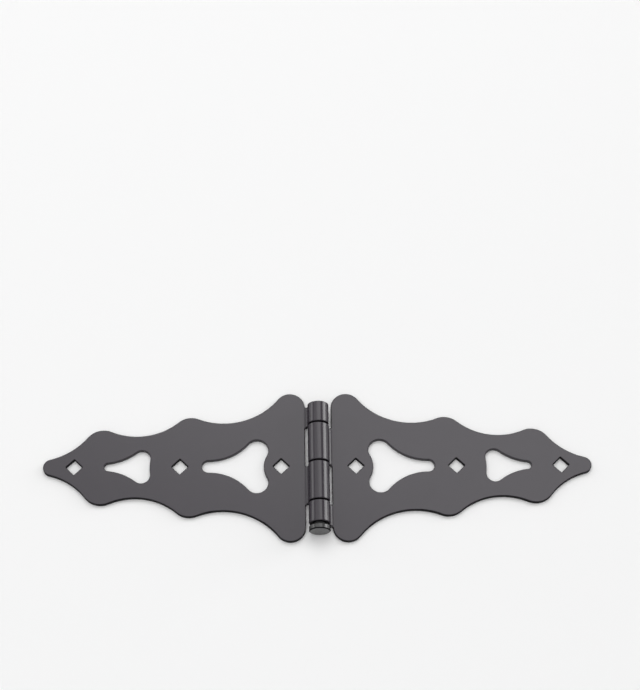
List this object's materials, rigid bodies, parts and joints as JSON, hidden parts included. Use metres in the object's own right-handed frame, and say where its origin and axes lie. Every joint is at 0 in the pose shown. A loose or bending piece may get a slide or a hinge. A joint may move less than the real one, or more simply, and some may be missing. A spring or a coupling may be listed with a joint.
{
  "type": "gate strap hinge",
  "caption": "Ornamental steel strap hinge for a timber gate: scalloped, pierced leaves with rolled knuckles turn on a headed pin.",
  "frame": {"origin": "midway along the barrel, on the plane of the leaves' back faces, with the hinge laid open", "axes": "+X along the straps towards the right-hand leaf's tip, +Y along the barrel away from the pin's head, +Z out of the faces"},
  "size_m": [0.3302, 0.0952, 0.0135],
  "materials": {
    "leaf_coat": "black semi-gloss powder coat over steel sheet",
    "pin_coat": "black satin coat over turned steel"
  },
  "bodies": {
    "right_strap": {"right_leaf": "leaf_coat", "hinge_pin": "pin_coat"},
    "left_strap": {"left_leaf": "leaf_coat"}
  },
  "joints": [
    {"name": "leaf_fold", "type": "hinge", "parent": "right_strap", "child": "left_strap", "pos_m": [0, 0, 0.0071], "axis": [0, 1, 0], "range_deg": [-90, 180]}
  ]
}
